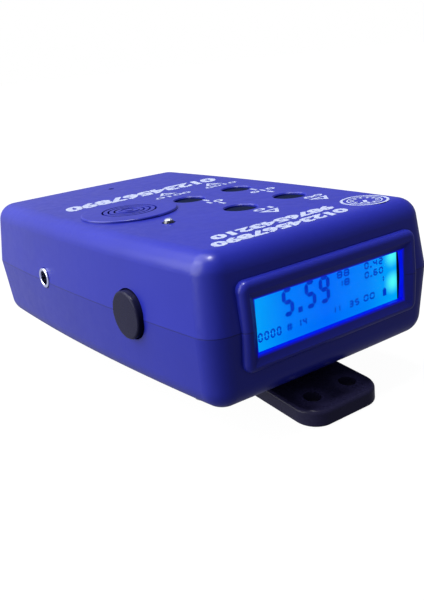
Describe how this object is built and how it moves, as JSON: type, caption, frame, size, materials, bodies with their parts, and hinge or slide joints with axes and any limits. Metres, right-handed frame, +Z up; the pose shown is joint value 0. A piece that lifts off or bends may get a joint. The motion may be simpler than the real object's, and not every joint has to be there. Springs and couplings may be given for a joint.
{
  "type": "handheld shot timer",
  "caption": "Handheld electronic timer: bowed two-shell case, framed backlit display on one end, round keys, side start button, speaker slots, jack socket, battery door, sprung belt clip.",
  "frame": {"origin": "on the plane that the blade of the clip arm rests on, under the middle of the case", "axes": "+X across the case to the side away from the start button, -Y toward the display end, +Z up through the top face with the keys"},
  "size_m": [0.0705, 0.1127, 0.044],
  "materials": {
    "case_plastic": "fine moulded satin",
    "clear_window": "clear polished",
    "display": "lit from behind",
    "dark_plastic": "moulded satin",
    "light_panel": "frosted",
    "circuit_board": "solder mask",
    "steel": "plated",
    "capacitor_sleeve": "shrink sleeve",
    "ribbon": "polyimide film",
    "black_button": "satin",
    "white_plastic": "moulded",
    "foam": "closed-cell foam",
    "cone_paper": "pressed fibre",
    "clear_lens": "water-clear",
    "aluminium_can": "drawn",
    "chrome": "polished",
    "battery_wrap": "printed wrap",
    "red_insulation": "smooth",
    "black_insulation": "smooth",
    "clip_plastic": "moulded satin"
  },
  "bodies": {
    "case": {"upper_case": "case_plastic", "lower_case": "case_plastic", "display_window": "clear_window", "lcd_glass": "display", "lcd_holder": "dark_plastic", "backlight": "light_panel", "main_board": "circuit_board", "keypad_board": "circuit_board", "processor_chip": "dark_plastic", "amplifier_chip": "dark_plastic", "crystal_can": "steel", "capacitor": "capacitor_sleeve", "display_ribbon": "ribbon", "keypad_ribbon": "ribbon", "start_switch": "dark_plastic", "speaker_gasket": "foam", "speaker_basket": "steel", "speaker_cone": "cone_paper", "speaker_magnet": "steel", "status_led": "clear_lens", "microphone": "aluminium_can", "mic_grommet": "foam", "jack_body": "dark_plastic", "jack_ferrule": "chrome", "battery": "battery_wrap", "battery_terminals": "chrome", "battery_snap": "dark_plastic", "red_lead": "red_insulation", "black_lead": "black_insulation", "clip_base": "clip_plastic", "clip_pin": "steel", "clip_spring": "steel", "case_screws": "steel", "board_screws": "steel", "keypad_screws": "steel", "clip_screws": "steel", "front_left_switch": "dark_plastic", "front_right_switch": "dark_plastic", "rear_left_switch": "dark_plastic", "rear_right_switch": "dark_plastic"},
    "start_control": {"start_button": "black_button", "start_plunger": "white_plastic"},
    "clip_lever": {"clip_arm": "clip_plastic"},
    "battery_cover": {"battery_door": "case_plastic"},
    "front_left_control": {"front_left_key": "black_button", "front_left_plunger": "white_plastic"},
    "front_right_control": {"front_right_key": "black_button", "front_right_plunger": "white_plastic"},
    "rear_left_control": {"rear_left_key": "black_button", "rear_left_plunger": "white_plastic"},
    "rear_right_control": {"rear_right_key": "black_button", "rear_right_plunger": "white_plastic"}
  },
  "joints": [
    {"name": "start_press", "type": "slide", "parent": "case", "child": "start_control", "axis": [1, 0, 0], "range_m": [0, 0.0009], "stiffness_N_per_m": 1500, "springref_m": -0.0005},
    {"name": "clip_hinge", "type": "hinge", "parent": "case", "child": "clip_lever", "pos_m": [0, -0.0325, 0.0047], "axis": [-1, 0, 0], "range_deg": [0, 11.5], "stiffness_Nm_per_rad": 0.25, "springref_deg": -34.38, "deforming": ["clip_spring"]},
    {"name": "cover_slide", "type": "slide", "parent": "case", "child": "battery_cover", "axis": [0, 1, 0], "range_m": [0, 0.032]},
    {"name": "front_left_press", "type": "slide", "parent": "case", "child": "front_left_control", "axis": [0, 0, -1], "range_m": [0, 0.0005], "stiffness_N_per_m": 2500, "springref_m": -0.0002},
    {"name": "front_right_press", "type": "slide", "parent": "case", "child": "front_right_control", "axis": [0, 0, -1], "range_m": [0, 0.0005], "stiffness_N_per_m": 2500, "springref_m": -0.0002},
    {"name": "rear_left_press", "type": "slide", "parent": "case", "child": "rear_left_control", "axis": [0, 0, -1], "range_m": [0, 0.0005], "stiffness_N_per_m": 2500, "springref_m": -0.0002},
    {"name": "rear_right_press", "type": "slide", "parent": "case", "child": "rear_right_control", "axis": [0, 0, -1], "range_m": [0, 0.0005], "stiffness_N_per_m": 2500, "springref_m": -0.0002}
  ]
}
